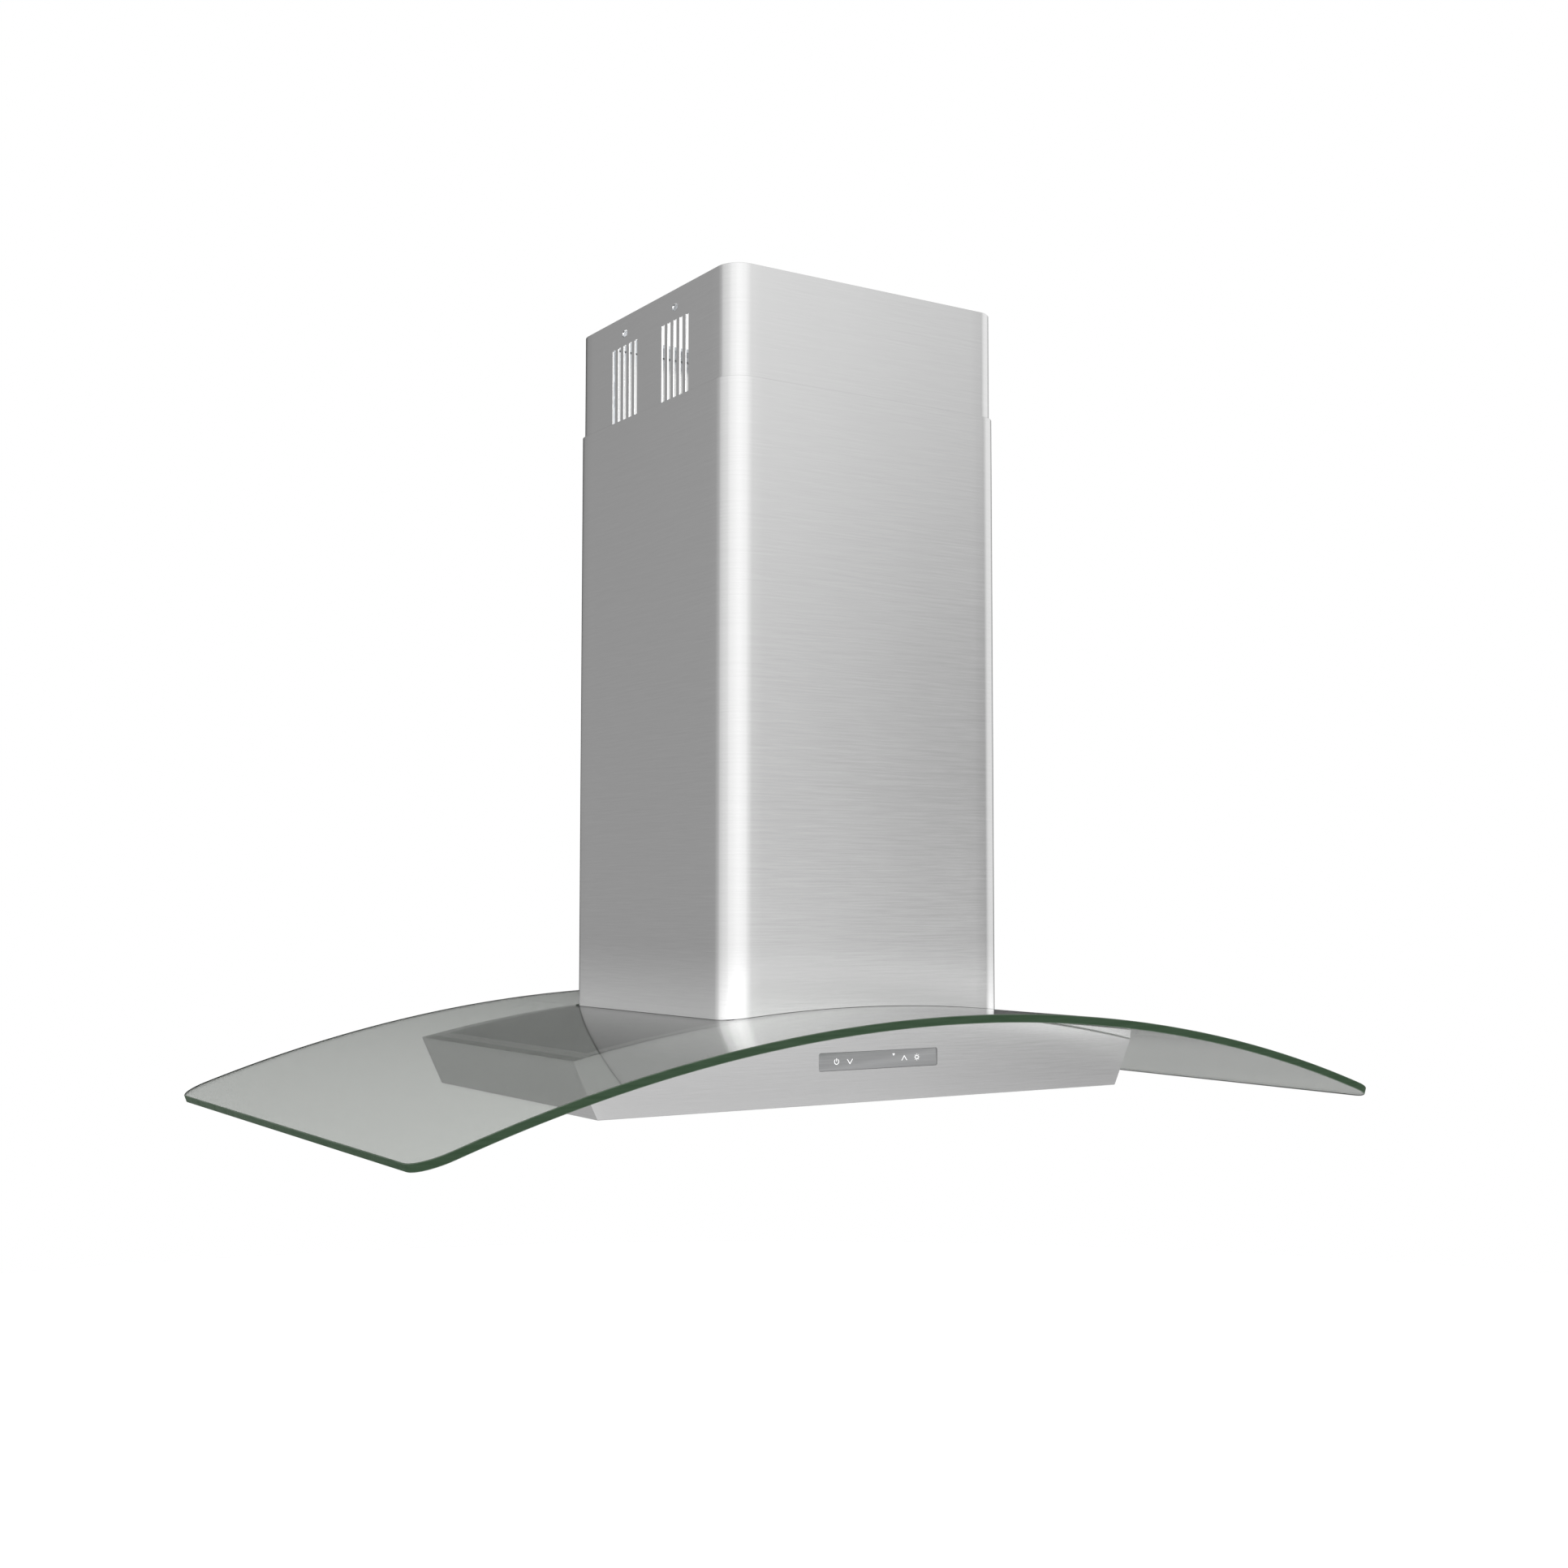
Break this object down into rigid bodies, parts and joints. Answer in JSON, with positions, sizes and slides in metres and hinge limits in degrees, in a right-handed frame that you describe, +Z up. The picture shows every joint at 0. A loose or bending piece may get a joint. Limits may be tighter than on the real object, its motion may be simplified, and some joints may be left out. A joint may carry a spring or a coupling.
{
  "type": "island range hood",
  "caption": "Ceiling-hung island range hood: arched glass canopy over a slim stainless body with touch strip, blower, baffle filters, lamps and a telescopic square duct cover.",
  "frame": {"origin": "centre of the ceiling plate's upper face, where the hood hangs from the ceiling", "axes": "+Z up towards the ceiling, +X to the right across the long side of the glass, front with the touch strip towards -Y"},
  "size_m": [1.065, 0.648, 0.8126],
  "materials": {
    "brushed_stainless": "satin, horizontal grain",
    "underside_stainless": "satin",
    "glass": "clear float glass with a green edge",
    "galvanised_steel": "galvanised, spangled",
    "bright_fasteners": "bright zinc",
    "filter_stainless": "polished satin",
    "lamp_bezel": "satin anodised",
    "lamp_diffuser": "frosted",
    "control_strip": "fine satin with printed symbols",
    "rubber_strip": "matt",
    "blower_plastic": "moulded",
    "motor_paint": "cast and painted",
    "board": "solder mask",
    "white_plastic": "moulded",
    "black_plastic": "moulded"
  },
  "bodies": {
    "ceiling_frame": {"ceiling_plate": "galvanised_steel", "upper_post_fl": "galvanised_steel", "upper_post_fr": "galvanised_steel", "upper_post_bl": "galvanised_steel", "upper_post_br": "galvanised_steel"},
    "upper_cover": {"upper_duct_cover": "brushed_stainless"},
    "hood": {"lower_post_fl": "galvanised_steel", "lower_post_fr": "galvanised_steel", "lower_post_bl": "galvanised_steel", "lower_post_br": "galvanised_steel", "clamp_bolt_fl": "bright_fasteners", "clamp_bolt_fr": "bright_fasteners", "clamp_bolt_bl": "bright_fasteners", "clamp_bolt_br": "bright_fasteners", "lower_duct_cover": "brushed_stainless", "canopy_glass": "glass", "body_shell": "brushed_stainless", "glass_bonding_strip": "rubber_strip", "support_tray": "galvanised_steel", "bottom_panel": "underside_stainless", "panel_screw_1": "bright_fasteners", "panel_screw_2": "bright_fasteners", "panel_screw_3": "bright_fasteners", "panel_screw_4": "bright_fasteners", "touch_panel": "control_strip", "control_board": "board", "blower_box": "galvanised_steel", "blower_scroll": "blower_plastic", "motor_body": "motor_paint", "motor_bracket": "galvanised_steel", "run_capacitor": "white_plastic", "duct_collar": "galvanised_steel", "damper_rod": "bright_fasteners", "junction_box": "galvanised_steel", "junction_box_lid": "galvanised_steel", "supply_gland": "black_plastic", "lamp_driver": "white_plastic", "lamp_housing_1": "lamp_bezel", "lamp_housing_2": "lamp_bezel", "lamp_housing_3": "lamp_bezel", "lamp_housing_4": "lamp_bezel", "lamp_lens_1": "lamp_diffuser", "lamp_lens_2": "lamp_diffuser", "lamp_lens_3": "lamp_diffuser", "lamp_lens_4": "lamp_diffuser"},
    "blower_rotor": {"blower_wheel": "blower_plastic", "motor_shaft": "bright_fasteners"},
    "damper_left": {"damper_flap_left": "galvanised_steel"},
    "damper_right": {"damper_flap_right": "galvanised_steel"},
    "filter_left": {"baffle_filter_left": "filter_stainless"},
    "filter_right": {"baffle_filter_right": "filter_stainless"},
    "latch_left": {"filter_latch_left": "filter_stainless"},
    "latch_right": {"filter_latch_right": "filter_stainless"}
  },
  "joints": [
    {"name": "height_adjust", "type": "slide", "parent": "ceiling_frame", "child": "hood", "axis": [0, 0, -1], "range_m": [-0.1, 0.24]},
    {"name": "upper_cover_slide", "type": "slide", "parent": "ceiling_frame", "child": "upper_cover", "axis": [0, 0, -1], "range_m": [0, 0.1]},
    {"name": "blower_spin", "type": "hinge", "parent": "hood", "child": "blower_rotor", "pos_m": [-0.008, 0, -0.6274], "axis": [0, 1, 0], "continuous": true},
    {"name": "damper_left_swing", "type": "hinge", "parent": "hood", "child": "damper_left", "pos_m": [0, 0, -0.4674], "axis": [0, 1, 0], "range_deg": [0, 80]},
    {"name": "damper_right_swing", "type": "hinge", "parent": "hood", "child": "damper_right", "pos_m": [0, 0, -0.4674], "axis": [0, -1, 0], "range_deg": [0, 80]},
    {"name": "filter_left_tilt", "type": "hinge", "parent": "hood", "child": "filter_left", "pos_m": [0, 0.1268, -0.7982], "axis": [1, 0, 0], "range_deg": [0, 75]},
    {"name": "filter_right_tilt", "type": "hinge", "parent": "hood", "child": "filter_right", "pos_m": [0, 0.1268, -0.7982], "axis": [1, 0, 0], "range_deg": [0, 75]},
    {"name": "latch_left_slide", "type": "slide", "parent": "filter_left", "child": "latch_left", "axis": [0, 1, 0], "range_m": [0, 0.006], "stiffness_N_per_m": 200},
    {"name": "latch_right_slide", "type": "slide", "parent": "filter_right", "child": "latch_right", "axis": [0, 1, 0], "range_m": [0, 0.006], "stiffness_N_per_m": 200}
  ]
}
